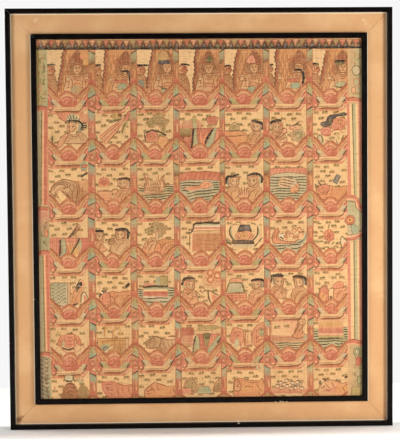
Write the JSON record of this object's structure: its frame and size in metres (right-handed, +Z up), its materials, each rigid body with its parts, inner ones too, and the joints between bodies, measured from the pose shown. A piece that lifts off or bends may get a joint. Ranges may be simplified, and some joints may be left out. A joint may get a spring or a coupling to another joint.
{
  "type": "framed painted cloth calendar",
  "caption": "Painted cloth calendar in a slim black inner frame, a wide tan cloth liner and a square-edged black outer frame, made to hang flat on a wall.",
  "frame": {"origin": "the middle of the back face of the outer frame's top rail, where the frame meets the wall", "axes": "+Z up along the frame's height, +Y into the wall, so that the picture faces -Y; +X to the right as seen from the front"},
  "size_m": [1.1, 0.042, 1.2],
  "materials": {
    "black_lacquer": "black lacquer, satin",
    "tan_cloth_liner": "covered in tan woven cloth, matt",
    "painted_cotton": "painted cotton, matt",
    "plain_board": "bare board",
    "steel": "plain bright steel"
  },
  "bodies": {
    "root": {"outer_rail_top": "black_lacquer", "outer_rail_bottom": "black_lacquer", "outer_rail_left": "black_lacquer", "outer_rail_right": "black_lacquer", "liner_top": "tan_cloth_liner", "liner_bottom": "tan_cloth_liner", "liner_left": "tan_cloth_liner", "liner_right": "tan_cloth_liner", "inner_rail_top": "black_lacquer", "inner_rail_bottom": "black_lacquer", "inner_rail_left": "black_lacquer", "inner_rail_right": "black_lacquer", "painted_cloth": "painted_cotton", "mount_panel": "plain_board", "hanging_eye_left": "steel", "hanging_eye_right": "steel"}
  },
  "joints": []
}
